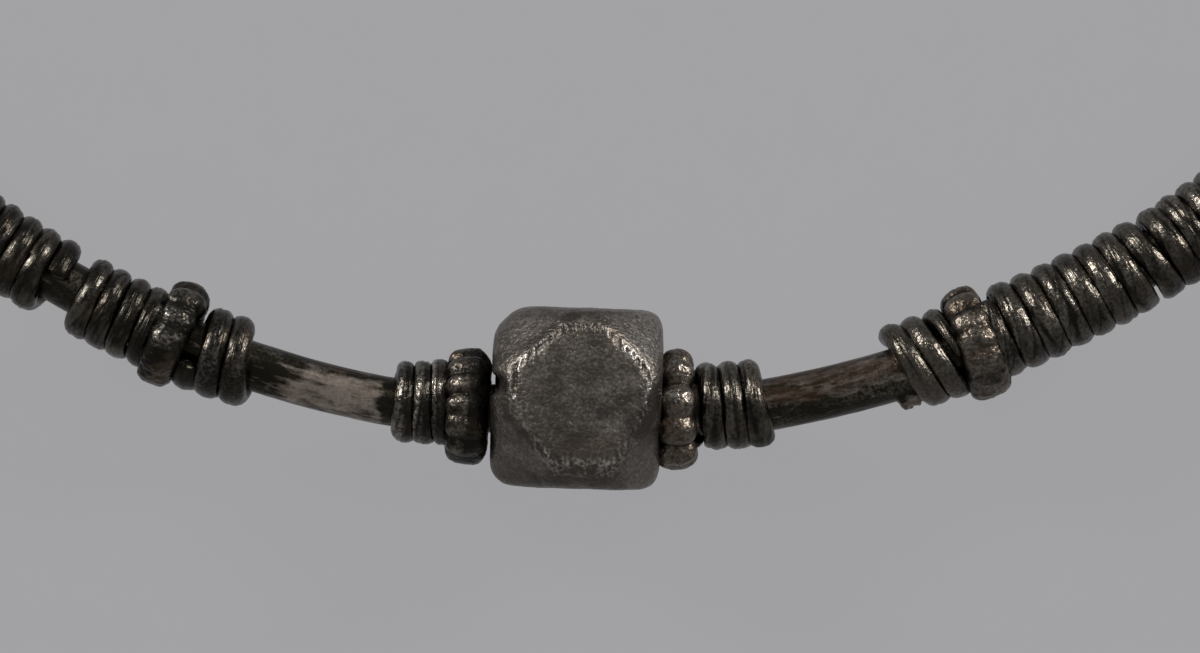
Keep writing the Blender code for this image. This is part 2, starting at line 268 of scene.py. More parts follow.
def dress(name, mesh, material):
    """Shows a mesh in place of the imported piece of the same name."""
    thing = show(name + "_silver", mesh)
    mesh.materials.append(material)
    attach(thing, "root")
    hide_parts(name)
    print(name, len(mesh.polygons), "faces")


# %% [markdown]
# ## Finishes
#
# The metal is silver with some copper in it, cast, hammered and drawn, then long buried: silver
# sulphide has turned it dark, and copper has left brown stains. A metal shader fits it: tarnish
# is a dark reflecting skin, not a paint. Each finish mixes a dark tarnish, a lighter patina and
# brown stains by noise, then lets bare silver through where the piece is worn.

# %% Colours and nodes
def linear(hex_colour):
    """An sRGB hex colour as the linear light that shaders work in."""
    channels = [int(hex_colour[i : i + 2], 16) / 255 for i in (1, 3, 5)]
    straight = [c / 12.92 if c <= 0.04045 else ((c + 0.055) / 1.055) ** 2.4 for c in channels]
    return (*straight, 1)


def per(size):
    """A texture's scale for a pattern this many millimetres wide."""
    return 1 / (size * MM)


def add(tree, kind, inputs, out=0, **settings):
    """Adds a shader node with its settings, sets or links its inputs, and gives one output."""
    made = tree.nodes.new("ShaderNode" + kind)
    for name, value in settings.items():
        setattr(made, name, value)
    for socket, value in inputs.items():
        if isinstance(value, bpy.types.NodeSocket):
            tree.links.new(value, made.inputs[socket])
        else:
            made.inputs[socket].default_value = value
    return made.outputs[out] if made.outputs else None


def empty_material(name):
    """A material without nodes, and the tree that they go into."""
    material = bpy.data.materials.new(name)
    material.use_nodes = True
    material.node_tree.nodes.clear()
    return material, material.node_tree


# %% Tarnished silver
# A colour mix takes its share at socket 0 and its two colours at 6 and 7, and gives the blend at 2.
def tarnished_silver(name, dark, patina, stain, bare, blotch, drawn_out, polish, scratch_depth):
    """Old silver. Blotch is how wide the tarnish's patches are and drawn out how many times as
    long, polish is the roughness of dark skin and of worn metal, and sizes are millimetres."""
    material, tree = empty_material(name)
    place = add(tree, "TexCoord", {}, "Object")
    run = add(tree, "UVMap", {}, uv_map="run")
    worn, gritty, pale, brown = (
        add(tree, "Attribute", {}, "Fac", attribute_name=mark) for mark in MARKS
    )
    widths = (per(blotch * drawn_out), per(blotch), per(blotch))
    spread = add(tree, "Mapping", {"Vector": run if drawn_out > 1 else place, "Scale": widths})
    stretched = add(tree, "Mapping", {"Vector": run, "Scale": (per(1.6), per(0.09), 1.0)})
    # Tarnish grows in patches of a few tenths of a millimetre, and copper stains spread twice as
    # wide. Pits are 0.1 mm wide and less, and only the widest are drawn. Scratches are far finer
    # than the 0.09 mm drawn here, at which they just show.
    patches, stains, grit, scratches = (
        add(tree, "TexNoise", {"Vector": at, "Scale": scale, "Detail": detail, "Roughness": rough})
        for at, scale, detail, rough in (
            (spread, 1.0, 5.0, 0.62), (spread, 0.45, 4.0, 0.7), (place, per(0.1), 2.0, 0.5),
            (stretched, 1.0, 2.0, 0.5),
        )
    )
    # The skin: tarnish or patina by patches, brown by stains, and dark again in the pits. The pale
    # mark, which moves it towards patina, holds painted light and shade as well as the skin's own tone.
    lightened = add(tree, "Math", {0: patches, 1: pale}, operation="ADD")
    tarnish = add(tree, "MapRange", {"Value": lightened, "From Min": 0.38, "From Max": 0.62})
    skinned = add(tree, "Mix", {0: tarnish, 6: linear(dark), 7: linear(patina)}, 2, data_type="RGBA")
    rusty = add(tree, "Math", {0: stains, 1: brown}, operation="ADD")
    stained = add(
        tree, "MapRange", {"Value": rusty, "From Min": 0.52, "From Max": 0.68, "To Max": 0.6}
    )
    browned = add(tree, "Mix", {0: stained, 6: skinned, 7: linear(stain)}, 2, data_type="RGBA")
    even = add(tree, "Math", {0: 1.0, 1: gritty}, operation="SUBTRACT")
    mottled = add(tree, "MapRange", {"Value": grit, "From Min": 0.3, "From Max": 0.7, "To Min": even})
    flecked = add(tree, "Mix", {0: mottled, 6: linear(dark), 7: browned}, 2, data_type="RGBA")
    # Bare metal shows where the piece is worn, but not in the pits, and it is smoother.
    broken = add(
        tree, "MapRange", {"Value": grit, "From Min": 0.4, "From Max": 0.58, "To Min": 0.05}
    )
    bared = add(tree, "Math", {0: worn, 1: broken}, operation="MULTIPLY", use_clamp=True)
    colour = add(tree, "Mix", {0: bared, 6: flecked, 7: linear(bare)}, 2, data_type="RGBA")
    roughness = add(tree, "MapRange", {"Value": bared, "To Min": polish[0], "To Max": polish[1]})
    grain = add(tree, "Bump", {"Height": grit, "Distance": 0.04 * MM, "Strength": gritty})
    lines = {"Height": scratches, "Distance": scratch_depth * MM, "Strength": 1.0, "Normal": grain}
    metal = {"Base Color": colour, "Metallic": 1.0, "Roughness": roughness}
    metal["Normal"] = add(tree, "Bump", lines)
    add(tree, "OutputMaterial", {"Surface": add(tree, "BsdfPrincipled", metal)})
    return material


# %% The four finishes
# Drawn wire that skin has rubbed: pale, brown and dark streaks along it, with a satin sheen.
hoop_finish = tarnished_silver(
    "tarnished drawn silver", "#28261f", "#a79b91", "#523f33", "#b3a79b", 0.26, 3, (0.34, 0.28), 0.012
)
# Cast silver gone matt: an even, finely speckled grey, so that its bright ridges draw the eye.
bead_finish = tarnished_silver(
    "worn cast silver", "#46423e", "#7e7872", "#665b50", "#cfccc8", 0.8, 1, (0.42, 0.2), 0.002
)
# Small cast beads, pitted: warm grey with a few sharp glints on top of each bead.
ring_finish = tarnished_silver(
    "pitted granulated silver", "#262420", "#80776d", "#68584a", "#bdb8b1", 0.5, 1, (0.36, 0.13), 0.004
)
# Fine wire black with sulphide: dark turns, each with broken lengthwise glints on its back.
winding_finish = tarnished_silver(
    "blackened wound silver wire", "#24221e", "#57524b", "#4c4137", "#bdb8b0", 0.34, 1.8, (0.3, 0.13), 0.02
)
print("materials so far:", [material.name for material in bpy.data.materials])

# %% [markdown]
# ## The faceted bead
#
# The bead is cast silver, nearly a cube, with its corners cut off flat, so that its front is a
# rounded eight-sided face. The hoop's wire runs through its bore. Long wear has rounded every edge
# and left fine nicks across the ridges round the front, and those catch the light.
#
# A cube with a Bevel modifier would make all edges alike. Here the flats are directions and
# distances, and one formula rounds the places where they meet. It also tells how near each point
# is to a ridge, for the nicks and the bright metal there.

# %% The bead's flats
BEAD_HALF = (bead_high - bead_low) / 2
BEAD_TWIST = math.radians(-1.2)
FACET_LEAN = math.radians(35.26)
FACET_HEIGHT = 2.65


def turned(ways, angle):
    """Directions turned about the upright axis."""
    x, y, z = np.moveaxis(np.asarray(ways, float), -1, 0)
    across = x * math.cos(angle) - y * math.sin(angle)
    along = x * math.sin(angle) + y * math.cos(angle)
    return stacked(across, along, z)


def bead_planes():
    """The flats that bound the bead, as directions and distances from its centre: six faces,
    eight corner facets, which lean inwards and pass the facet height at the distance given, and
    twelve cuts where the edges between those have worn away."""
    faces = {
        (1, 0, 0): 2.53, (-1, 0, 0): 2.56, (0, 1, 0): 2.7, (0, -1, 0): 2.7, (0, 0, 1): 2.68,
        (0, 0, -1): 2.68,
    }
    facets = {
        (-0.64, 0.768): 1.97, (0.676, 0.737): 2.17, (0.844, -0.535): 1.99, (-0.72, -0.693): 1.78,
    }
    cuts = {
        (-1, 1, 0): 3.22, (1, 1, 0): 3.5, (1, -1, 0): 3.48, (-1, -1, 0): 3.5, (0, 1, 1): 3.46,
        (0, -1, 1): 3.26, (1, 0, 1): 3.46, (-1, 0, 1): 3.27, (0, 1, -1): 3.4, (0, -1, -1): 3.36,
        (1, 0, -1): 3.36, (-1, 0, -1): 3.4,
    }
    level, steep = math.cos(FACET_LEAN), math.sin(FACET_LEAN)
    flats = dict(faces)
    for (x, y), distance in facets.items():
        for z in (steep, -steep):
            flats[x * level, y * level, z] = distance * level + FACET_HEIGHT * steep
    for way, distance in cuts.items():
        flats[tuple(part / math.sqrt(2) for part in way)] = distance
    return turned(list(flats), BEAD_TWIST), np.array(list(flats.values()))


print("flats on the bead:", len(bead_planes()[1]))

# %% The bead's points
BEAD_FIRMNESS = 24
BEAD_SIDES = 440
FACE_ROWS = 34
SIDE_ROWS = 150
BORE_ROWS = 10
BORE_RADIUS = 0.8
RIDGE_SHARE = 0.03


def square_walk(share):
    """A point going evenly round a square from -1 to 1: two waves that rise and fall in straight
    lines, a quarter turn apart, and are cut off at the square's sides."""
    waves = [2 - 8 * abs((share + shift) % 1 - 0.5) for shift in (0, 0.25)]
    return np.clip(stacked(*waves), -1, 1)


def bead_rows():
    """Rows of points round the bead's bore: out over the left face, across the sides, in over the
    right face and back through the bore. A point on a box is drawn towards the centre until its
    shares of the way to all the flats, raised to a high power, add up to one. A ridge is where the
    front or back and a slope are as near, and the apron is the belt of the slopes beside it."""
    turn = np.arange(BEAD_SIDES) / BEAD_SIDES
    walk = square_walk(turn) * BEAD_HALF[1:]
    angle = np.arctan2(walk[:, 1], walk[:, 0])
    bore = BORE_RADIUS * stacked(np.cos(angle), np.sin(angle)) - (BEAD_INSET, 0)
    spread = np.linspace(0, 1, FACE_ROWS)[:, None, None]
    face = bore + (walk - bore) * spread
    left = stacked(-BEAD_HALF[0], face[..., 0], face[..., 1])
    across = np.linspace(-1, 1, SIDE_ROWS)[1:-1, None] * BEAD_HALF[0]
    sides = stacked(across, walk[:, 0], walk[:, 1])
    box = np.concatenate([left, sides, left[::-1] * (-1, 1, 1)])
    ways, reach = bead_planes()
    shares = np.maximum(box @ (ways / reach[:, None]).T, 0)
    size = (shares**BEAD_FIRMNESS).sum(-1) ** (1 / BEAD_FIRMNESS)
    outside = box / size[..., None]
    inner_x = np.linspace(0.97, -0.97, BORE_ROWS)[:, None] * outside[-1, :, 0].mean()
    inside = stacked(inner_x, bore[:, 0], bore[:, 1])
    shares = shares / size[..., None]
    front, back = 4, 5
    level = shares[..., [front, back]].max(-1)
    slope = np.delete(shares, (front, back), axis=-1).max(-1)
    ridge = np.exp(-(((level - slope) / RIDGE_SHARE) ** 2))
    apron = eased(slope - level, 0, 0.02) * (1 - eased(slope - level, 0.08, 0.2))
    plain = np.zeros(inside.shape[:2])
    ridge, apron = (np.concatenate([mask, plain]) for mask in (ridge, apron))
    return np.concatenate([outside, inside]), ridge, apron


print("rows of points over the bead:", 2 * FACE_ROWS + SIDE_ROWS - 2 + BORE_ROWS)

# %% The bead's wear
NICK_WIDTH = 0.12
NICK_STRETCH = 4
ROW_STEP = 0.034
SIDE_STEP = 0.048


def bead_marks(rows, ridge, apron, nicks):
    """Where the bead is worn, pale or brown, as sums of soft patches. Seen from the front, x
    goes right and y up, towards the hoop's centre."""
    x, y = rows[..., 0], rows[..., 1]
    above, below = eased(y, 1.0, 1.6), eased(-y, 1.0, 1.6)
    right, off_middle = eased(x, 1.2, 1.8), eased(abs(x), 0.6, 1.2)
    # The ridges shine between their nicks, most at the upper left and right, hardly at the top.
    wear = 0.8 * ridge * (0.2 + 0.8 * eased(y, -1.2, 0.6)) * eased(nicks, 0.1, 0.75)
    wear *= 0.14 + 0.71 * off_middle
    bottom_nicks = (ridge + 0.5 * apron) * below * eased(nicks, -0.1, 0.5)
    # Tarnish has stayed beside the ridges at the top and lower down, and in their nicks.
    shade = apron * eased(lumps(rows, 0.5, 8), -0.8, 0.2)
    pale = -0.4 * shade * eased(y, 1.2, 1.8) * (1 - eased(abs(x + 0.5), 0.9, 1.5))
    pale -= 0.28 * shade * (1 - eased(y, 0.3, 0.8))
    pale -= 0.3 * ridge * above * (1 - off_middle)
    pale -= 0.5 * ridge * eased(y, -0.2, 0.6) * eased(-nicks, -0.4, 0.2)
    # A dark spot lies low on the right, the facets on the right are the palest, and the lower facets
    # are lightened a little as painted fill light.
    pale -= 0.4 * np.exp(-(((x - 1.9) / 0.35) ** 2) - ((y + 0.85) / 0.5) ** 2)
    pale += 0.06 * eased(-y, 1.0, 1.8) + 0.26 * right * eased(abs(y), 1.0, 1.6)
    # The top edge is a little paler, its right corner is rubbed, and the bottom edge is darker.
    pale += 0.04 + 0.05 * eased(y, 2.0, 2.4)
    wear += 0.16 * right * above * eased(x + y, 3, 3.4)
    pale -= 0.16 * eased(-y, 2.0, 2.3)
    brown = 0.3 * bottom_nicks + 0.1 * eased(-y, 0.2, 1.6)
    return {"wear": wear + 0.5 * bottom_nicks, "grit": 0.8, "pale": pale, "brown": brown}


def faceted_bead():
    """The bead's surface: slow dents and grit all over, fine upright nicks across the ridges,
    where a stretched noise is far from zero, and one deep dent in the left edge."""
    rows, ridge, apron = bead_rows()
    x, y = rows[..., 0], rows[..., 1]
    nicks = 1 - 2.6 * abs(lumps(rows * (1, 1 / NICK_STRETCH, 1), NICK_WIDTH, 5))
    relief = 0.02 * lumps(rows, 1.1, 1) + 0.008 * roughened(rows, 0.3, 2, 2)
    relief += 0.006 * lumps(rows, 0.1, 4)
    relief += ridge * (0.032 * nicks - 0.02)
    relief -= 0.24 * np.exp(-(((y - 0.4) / 0.28) ** 4)) * eased(-x, 2.0, 2.5)
    marks = bead_marks(rows, ridge, apron, nicks)
    rows = rows + facing(rows, joined=True) * relief[..., None] + bead_centre
    run = (np.arange(len(rows) + 1) * ROW_STEP, np.arange(BEAD_SIDES + 1) * SIDE_STEP)
    return skin("faceted_bead", rows, marks, run, joined=True)


dress("faceted_bead", faceted_bead(), bead_finish)

# %% [markdown]
# ## Beaded rings
#
# On each side of the bead, and again further out, a ring of small cast beads sits on the wire. The
# beads are rubbed low on the side away from the hoop's centre, where the earring hangs. Tarnish has
# stayed in the notches, where shade is painted as well, and the side of each ring towards the bead
# is darkened as painted shade.
#
# A circle of small spheres would leave hard creases, and no ring to join them. So each ring is one
# surface: a rounded section carried round the wire, that gets lower and narrower at each notch.

# %% The four rings
# Crest is where a ring is highest, and sides its reach left and right of that. Square in and out
# are the powers that square its section, towards the hoop's centre and away. Lobes are its beads.
# At the notches between them, counted from first in degrees, it is lower by notch and narrower by
# nipped. Away from the centre, worn rubs its beads, and lower and swell make it lower and narrower.
# Lean is in degrees and rough is the depth of pits. The pair after rough is where, on the side towards
# the bead, painted shade rises from none to full: it darkens the skin and takes wear away. Shining is
# the reach of wear towards and away from the centre. The rest says how strong each mark is.
RINGS = {
    "inner_beaded_ring_left": {
        "crest": -3.08, "sides": (0.86, 0.43), "square_in": (3.0, 1.45), "square_out": (2.6, 1.9),
        "radius": 1.82, "worn": 0.5, "lobes": 14, "first": 1.5, "notch": 0.22, "nipped": (0.2, 0),
        "lean": 1.6, "lower": 0.1, "swell": 0.05, "rough": 0.022, "painted_shade_towards_bead": (-0.35, 0.1),
        "shining": (0.62, 0.05), "bared": 0.7, "grit": 0.9, "pale": 0.1, "brown": 0.02, "seed": 42,
    },
    "inner_beaded_ring_right": {
        "crest": 3.02, "sides": (0.58, 0.57), "square_in": (2.4, 2.2), "square_out": (2.4, 2.2),
        "radius": 1.83, "worn": 0.1, "lobes": 10, "first": 12, "notch": 0.3, "nipped": (0.3, 0.3),
        "lean": 0.6, "lower": 0.03, "swell": -0.1, "rough": 0.018, "painted_shade_towards_bead": (0.6, 1),
        "shining": (0.86, 0.0), "bared": 1.6, "grit": 0.8, "pale": 0.6, "brown": 0.08, "seed": 24,
    },
    "outer_beaded_ring_left": {
        "crest": -12.46, "sides": (0.58, 0.56), "square_in": (2.3, 2.1), "square_out": (2.8, 2.8),
        "radius": 1.74, "worn": 0.85, "lobes": 12, "first": 8, "notch": 0.12, "nipped": (0.1, 0.1),
        "lean": 2.5, "lower": 0.16, "swell": 0.12, "rough": 0.028, "painted_shade_towards_bead": (0.1, 0.5),
        "shining": (0.86, 0.3), "bared": 1.3, "grit": 0.45, "pale": -0.15, "brown": 0, "seed": 31,
    },
    "outer_beaded_ring_right": {
        "crest": 12.26, "sides": (0.62, 0.62), "square_in": (2.6, 2.4), "square_out": (2.6, 2.6),
        "radius": 1.84, "worn": 0.9, "lobes": 14, "first": 6.5, "notch": 0.12, "nipped": (0.1, 0.1),
        "lean": 1, "lower": 0.23, "swell": 0, "rough": 0.026, "painted_shade_towards_bead": (0.7, 1),
        "shining": (0.5, 0.0), "bared": 0.3, "grit": 0.8, "pale": 0.16, "brown": 0.08, "seed": 41,
    },
}
print("beads on each ring:", [ring["lobes"] for ring in RINGS.values()])


# %% Helpers for a squared section
def rounded(angle, low_side, high_side):
    """How far out a squared circle reaches at each angle: the sum of the sine and cosine, raised
    to a power, is kept at one. Each side has its own power, and two is a true circle."""
    power = np.where(np.sin(angle) < 0, low_side, high_side)
    return (abs(np.cos(angle)) ** power + abs(np.sin(angle)) ** power) ** (-1 / power)


def close_outside(sides):
    """Angles round a section, twice as close on its outside, which shows, as all round."""
    even = np.linspace(-math.pi, math.pi, sides, endpoint=False)
    return even - 0.5 * np.sin(even)


# %% The rings' shape and wear
RING_SIDES = 64
RING_STEPS = 400
RING_GIRTH = 3.5
RING_CLEARANCE = 0.012


def ring_notches(ring, turn, round_place):
    """How deep each place round the ring lies in the narrow notch between two beads, a squared
    cosine of the share of the way from notch to notch, and in the wide hollow there, the square
    of the distance from a bead's middle. Wear takes both away in part."""
    seed = ring["seed"]
    uneven = 0.1 * lumps(round_place * 1.5, 1, seed) + 0.06 * lumps(round_place * 3, 1, seed + 1)
    bead_share = ring["lobes"] * (turn - math.radians(ring["first"])) / (2 * math.pi) + uneven
    kept = 1 - ring["worn"] * eased(np.cos(turn), -0.5, 0.3)
    kept = kept * (0.6 + 0.4 * eased(lumps(round_place * 2.4, 1, seed + 7), -0.5, 0.4))
    valley = kept * ((1 + np.cos(2 * math.pi * bead_share)) / 2) ** 2
    hollow = kept * (2 * abs(bead_share % 1 - 0.5)) ** 2
    return valley, hollow


def ring_marks(ring, turn, profile, outside, valley, relief):
    """Bright metal on what stands out, none in the notches, on the side towards the bead that is
    kept in painted shade, or beyond the reach of wear. The skin is darker in the notches, where
    tarnish has stayed and shade is painted as well, darker on the side towards the bead as painted
    shade, and darker away from the hoop's centre."""
    towards_bead = -np.sin(profile) * np.sign(ring["crest"])
    # Painted shade on the side towards the bead: it darkens the skin and takes wear away.
    painted_shade_towards_bead = eased(towards_bead, *ring["painted_shade_towards_bead"])
    wear = ring["bared"] * outside * (1 - valley) ** 2 * (0.15 + 0.5 * eased(relief, 0.0, 0.04))
    rubbed_in, rubbed_out = ring["shining"]
    wear *= (1 - 0.9 * painted_shade_towards_bead) * (1 - 0.85 * eased(-np.cos(turn), rubbed_in, rubbed_in + 0.14))
    wear *= 1 - eased(np.cos(turn), rubbed_out - 0.25, rubbed_out)
    away = (1 + np.cos(turn)) / 2
    # Darker in the notches, as tarnish that has stayed there and as painted shade, and darker away from
    # the hoop's centre.
    pale = ring["pale"] - 0.5 * painted_shade_towards_bead - 0.14 * away - 0.4 * valley
    return {"wear": wear, "grit": ring["grit"], "pale": pale, "brown": ring["brown"]}


def beaded_ring(ring):
    """A rounded profile round the hoop wire, lower and narrower at each notch, and pitted."""
    seed = ring["seed"]
    turn = np.linspace(0, 2 * math.pi, RING_STEPS, endpoint=False)[:, None]
    away = (1 + np.cos(turn)) / 2
    profile = close_outside(RING_SIDES)[None]
    outside = eased(np.cos(profile) * np.ones_like(turn), -0.7, -0.1)
    round_place = stacked(np.cos(turn), np.sin(turn), 0.0)
    valley, hollow = ring_notches(ring, turn, round_place)
    outer = ring["radius"] - ring["notch"] * (valley + hollow) / 2
    outer = outer - ring["lower"] * away + 0.02 * lumps(round_place * 3.1, 1, seed + 2)
    inner = hoop_thickness(ring["crest"]) + RING_CLEARANCE
    side = np.where(np.sin(profile) < 0, *ring["sides"])
    nipped = np.where(np.sin(profile) < 0, *ring["nipped"]) * (valley + hollow) / 2
    half = side * (1 - nipped) * (1 - ring["swell"] * np.cos(turn))
    powers = [near + (far - near) * away for near, far in zip(ring["square_in"], ring["square_out"])]
    reach = rounded(profile, *powers)
    height = (inner + outer) / 2 + (outer - inner) / 2 * reach * np.cos(profile)
    along = half * reach * np.sin(profile)
    along = along - math.tan(math.radians(ring["lean"])) * height * np.cos(turn)
    straight = stacked(along + ring["crest"], height * np.cos(turn), height * np.sin(turn))
    pits = lumps(straight, 0.4, seed + 3) + 0.7 * roughened(straight, 0.13, seed + 4, 2)
    relief = ring["rough"] * pits
    rows = on_hoop(straight + facing(straight, joined=True) * (relief * outside)[..., None])
    marks = ring_marks(ring, turn, profile, outside, valley, relief)
    length = np.arange(RING_STEPS + 1) * 2 * math.pi * ring["radius"] / RING_STEPS
    girth = np.arange(RING_SIDES + 1) * RING_GIRTH / RING_SIDES
    return rows, marks, (length, girth)


for name, ring in RINGS.items():
    dress(name, skin(name, *beaded_ring(ring), joined=True), ring_finish)

# %% [markdown]
# ## Wire windings
#
# Thinner silver wire is wound round the hoop, to hold the rings in their places and as ornament.
# It was wound tight by hand: the turns press each other flat, they aren't quite even, a turn has
# slipped in one place, and the ends are drawn thin and tucked in.
#
# A curve with a round bevel is the quick way to make a helix, but its turns would cut into each
# other or stand apart. Working out each section lets a turn be pressed flat against the hoop and
# against the turns beside it.

# %% The seven windings
# Start is the direction in which a winding begins: 0 is away from the hoop's centre and 90 is up.
# First is where its middle begins along the hoop, pitch how far each turn takes it, and lean how
# far its inner passes lie behind its outer ones. Inner and outer are its reach towards and away
# from the centre, at its start and after so many turns as settled says, or at its end. A slip is
# how far a turn has slid, at so many turns. Tips are the thickness of its ends, as shares. The key
# after bared says how much the side of each turn towards its end is darkened as painted shade, and
# below how much its side away from the centre is lightened as painted light.
WINDINGS = {
    "inner_winding_left": {
        "start": 235, "turns": 2.65, "first": -5.4, "pitch": 0.54, "lean": -0.03, "width": 0.55,
        "thickness": 0.5, "inner": (1.27, 1.46), "outer": (1.155, 1.16), "tips": (0.92, 0.8),
        "grit": 0.5, "bared": 0.9, "painted_shade_side": 0.9, "pale": -0.04, "below": 0.15, "seed": 50,
    },
    "inner_winding_right": {
        "start": 10, "turns": 3.0, "first": 3.56, "pitch": 0.65, "lean": -0.06, "width": 0.65,
        "thickness": 0.56, "inner": (1.425, 1.43), "outer": (1.155, 1.305), "tips": (0.5, 0.98),
        "grit": 0.35, "bared": 0.5, "pale": 0.02, "below": 0.04, "seed": 60,
    },
    "middle_winding_left": {
        "start": 62, "turns": 2.4, "first": -11.764, "pitch": 0.72, "lean": 0, "width": 0.72,
        "thickness": 0.6, "inner": (1.335, 1.35), "outer": (1.383, 1.317), "tips": (0.85, 0.8),
        "grit": 0.25, "bared": 0.34, "pale": -0.12, "below": -0.06, "seed": 70,
    },
    "middle_winding_right": {
        "start": 200, "turns": 2.32, "first": 10.1, "pitch": 0.69, "lean": 0.21, "width": 0.7,
        "thickness": 0.64, "inner": (1.5, 1.54), "outer": (1.287, 1.26), "tips": (0.98, 0.45),
        "grit": 0.5, "bared": 0.35, "pale": 0.24, "below": 0.4, "seed": 80,
    },
    "short_winding_left": {
        "start": 235, "turns": 3.7, "first": -15.428, "pitch": 0.64, "lean": -0.075,
        "width": 0.65, "thickness": 0.52, "inner": (1.206, 1.206), "outer": (1.3, 1.3),
        "tips": (0.95, 0.85), "grit": 0.25, "bared": 0.15, "pale": -0.15, "below": 0.22, "seed": 90,
    },
    "long_winding_left": {
        "start": 270, "turns": 15.5, "first": -27.05, "pitch": 0.692, "lean": -0.05, "width": 0.7,
        "thickness": 0.52, "inner": (1.23, 1.23), "outer": (1.34, 1.34), "tips": (0.7, 0.98),
        "grit": 0.3, "bared": 0.1, "pale": -0.07, "seed": 100,
    },
    "long_winding_right": {
        "start": 148, "turns": 19.85, "first": 12.845, "pitch": 0.724, "lean": -0.07, "width": 0.73,
        "thickness": 0.62, "inner": (1.55, 1.32), "outer": (1.25, 1.39), "settled": 10,
        "slip": 0.15, "slip_at": 7.15, "tips": (0.8, 0.7), "grit": 0.5, "bared": 0.27, "pale": 0.07,
        "below": -0.04, "seed": 110,
    },
}
print("turns of each winding:", [wire["turns"] for wire in WINDINGS.values()])


# %% The strand's path
TIP_TURNS = 0.4
BLUNT_LENGTH = 0.14
END_STEPS = 6
CLOSE_STEP = 0.042
WIDE_STEP = 0.062
MANY_TURNS = 6


def strand(wire):
    """Steps along a winding's strand: the length and the turns so far, how thick it is drawn, and
    how rounded off at its ends. Long windings have wider steps."""
    total = 2 * math.pi * (WIRE_RADIUS + wire["thickness"] / 2) * wire["turns"]
    step = CLOSE_STEP if wire["turns"] < MANY_TURNS else WIDE_STEP
    ends = BLUNT_LENGTH * (1 - np.cos(np.linspace(0, math.pi / 2, END_STEPS + 1)[:-1]))
    middle = np.linspace(BLUNT_LENGTH, total - BLUNT_LENGTH, int(total / step))
    length = np.concatenate([ends, middle, (total - ends)[::-1]])
    turns = length / total * wire["turns"]
    drawn = np.ones_like(turns)
    for tip, distance in zip(wire["tips"], (turns, wire["turns"] - turns)):
        drawn = np.minimum(drawn, tip + (1 - tip) * eased(distance, 0, TIP_TURNS))
    return length, turns, drawn, quarter_round(np.minimum(length, total - length), BLUNT_LENGTH)


def winding_path(wire, turns):
    """Where a winding's middle lies along the hoop, how far out it reaches and in which
    direction, after so many turns. It goes on by its pitch and sways by its lean, its reach
    swings between the inner and the outer one, and at a slip a turn has slid from the last."""
    direction = math.radians(wire["start"]) - 2 * math.pi * turns
    along = wire["first"] + wire["pitch"] * turns + wire["lean"] * np.cos(direction)
    slipped = eased(turns, wire.get("slip_at", 0) - 0.15, wire.get("slip_at", 0) + 0.15)
    along += wire.get("slip", 0) * (slipped - turns / wire["turns"])
    settled = np.clip(turns / wire.get("settled", wire["turns"]), 0, 1)
    inner, outer = (near + (far - near) * settled for near, far in (wire["inner"], wire["outer"]))
    return along, (inner + outer) / 2 + (outer - inner) / 2 * np.cos(direction), direction


# %% The strand's section
STRAND_SIDES = 36
STRAND_GIRTH = 1.9
STRAND_POWER = 2.1
PRESSED_GAP = 0.008


def strand_places(wire, length, turns, drawn, blunt):
    """A helix round the hoop wire. Its section is round outside, flatter inside, and fills the
    room up to its reach. Where a turn lies beside it, it is pressed flat at half the pitch. The
    first turn has none before it and the last has none after it."""
    seed = wire["seed"]
    along, reach, direction = winding_path(wire, turns)
    along += 0.022 * wander(length, 2.1, seed)
    core = hoop_thickness(along)
    room = reach - core + 0.015 * wander(length, 1.3, seed + 1)
    thick = np.clip(room, 0.6 * wire["thickness"], 1.12 * wire["thickness"]) * drawn
    half_out = np.minimum(wire["width"] / 2 * drawn, 0.7 * thick)
    height = core + np.maximum(room, thick) - half_out
    centre = stacked(along, height * np.cos(direction), height * np.sin(direction))
    forward = unit(np.gradient(centre, length, axis=0))
    outward = stacked(0.0, np.cos(direction), np.sin(direction))
    sideways = unit(np.cross(forward, outward))
    outward = np.cross(sideways, forward)
    angle = close_outside(STRAND_SIDES)
    wide = wire["width"] / 2 * drawn * (1 + 0.02 * wander(length, 0.9, seed + 2)) * blunt
    half_in = (thick - half_out) * blunt
    raised = np.where(np.cos(angle) > 0, (half_out * blunt)[:, None], half_in[:, None])
    reach = rounded(angle, STRAND_POWER, STRAND_POWER)
    flatter = 1.12 + 0.16 * eased(np.cos(direction), -0.2, 0.5)
    across = (flatter * wide)[:, None] * reach * np.sin(angle)
    room_beside = wire["pitch"] / 2 * abs(sideways[:, :1]) + PRESSED_GAP
    towards_end = np.sign(sideways[len(sideways) // 2, 0])
    free = [eased(distance[:, None], 0.9, 0.7) for distance in (turns, wire["turns"] - turns)]
    before, after = free if towards_end > 0 else free[::-1]
    across = np.clip(across, -room_beside - before, room_beside + after)
    places = (
        centre[:, None]
        + outward[:, None] * (raised * reach * np.cos(angle))[..., None]
        + sideways[:, None] * across[..., None]
    )
    return places, angle, direction, towards_end


